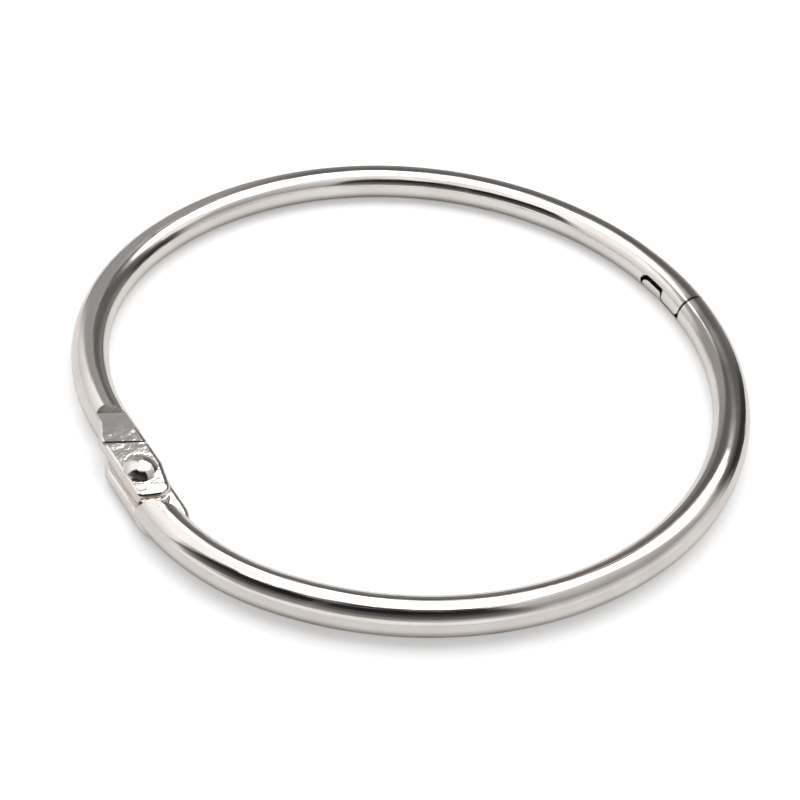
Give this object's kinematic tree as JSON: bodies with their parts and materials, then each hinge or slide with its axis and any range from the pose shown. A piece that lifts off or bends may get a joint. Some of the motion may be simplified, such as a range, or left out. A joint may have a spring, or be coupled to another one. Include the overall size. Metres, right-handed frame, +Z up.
{
  "type": "binder ring",
  "caption": "Hinged loose-leaf binder ring of round wire, two half rings on a rivet with a snap clasp that interlocks, shown closed.",
  "frame": {"origin": "middle of the closed ring's length and width over all, on the surface it lies on; the ring's circle is centred 0.79 mm from it towards the hinge", "axes": "+Z up, square to the ring's plane; -X towards the riveted hinge, +X towards the snap clasp"},
  "size_m": [0.0552, 0.0568, 0.0034],
  "materials": {
    "nickel_wire": "bright nickel plate on steel wire",
    "nickel_rivet": "bright nickel plate on a steel rivet"
  },
  "bodies": {
    "back_half": {"half_ring_back": "nickel_wire"},
    "rivet": {"hinge_rivet": "nickel_rivet"},
    "front_half": {"half_ring_front": "nickel_wire"}
  },
  "joints": [
    {"name": "hinge_swing", "type": "hinge", "parent": "back_half", "child": "rivet", "pos_m": [-0.02556, -0.00195, 0.0015], "axis": [0, 0, -1], "range_deg": [0, 110]},
    {"name": "clasp_release", "type": "hinge", "parent": "rivet", "child": "front_half", "pos_m": [-0.02556, -0.00195, 0.0015], "axis": [0, 1, 0], "range_deg": [0, 1.2], "stiffness_Nm_per_rad": 0.3, "springref_deg": -1.15}
  ]
}
